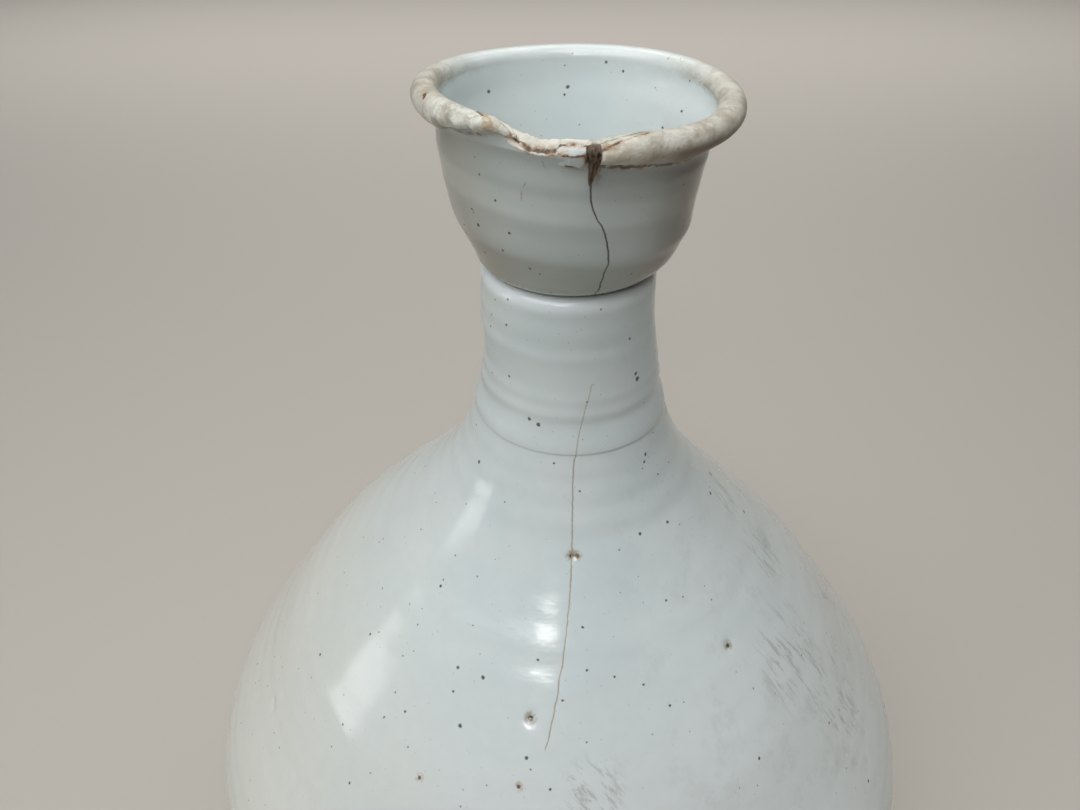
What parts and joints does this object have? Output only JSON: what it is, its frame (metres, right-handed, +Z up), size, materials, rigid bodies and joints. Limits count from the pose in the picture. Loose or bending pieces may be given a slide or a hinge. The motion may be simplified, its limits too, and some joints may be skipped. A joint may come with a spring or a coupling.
{
  "type": "sake bottle",
  "caption": "Round-bellied white porcelain bottle with a narrow neck and a cup-shaped mouth, whose broken lip is mended from sherds.",
  "frame": {"origin": "centre of the foot ring's underside, on the surface that the bottle stands on", "axes": "+Z up along the turning axis, -Y towards the side with the mended lip"},
  "size_m": [0.2766, 0.2766, 0.402],
  "materials": {
    "glazed_porcelain": "glossy transparent glaze with a blue-grey cast over white porcelain, iron specks, fine throwing lines",
    "worn_lip_glaze": "the same glaze worn matt and stained cream along the lip",
    "bare_porcelain": "unglazed, dry, faintly buff",
    "joining_slip": "fired porcelain slip, matt",
    "repair_putty": "dry tan filler, gritty",
    "repair_lacquer": "aged brown lacquer glue, half gloss"
  },
  "bodies": {
    "root": {"foot_ring": "bare_porcelain", "foot_slip": "joining_slip", "lower_body": "glazed_porcelain", "belly_slip": "joining_slip", "upper_body": "glazed_porcelain", "neck_slip": "joining_slip", "neck": "glazed_porcelain", "mouth_slip": "joining_slip", "mouth_cup": "glazed_porcelain", "rim_roll": "worn_lip_glaze", "rim_sherd_left": "worn_lip_glaze", "rim_tip_left": "worn_lip_glaze", "rim_sherd_right": "worn_lip_glaze", "lip_flake": "glazed_porcelain", "putty_fill": "repair_putty", "lacquer_fill": "repair_lacquer"}
  },
  "joints": []
}
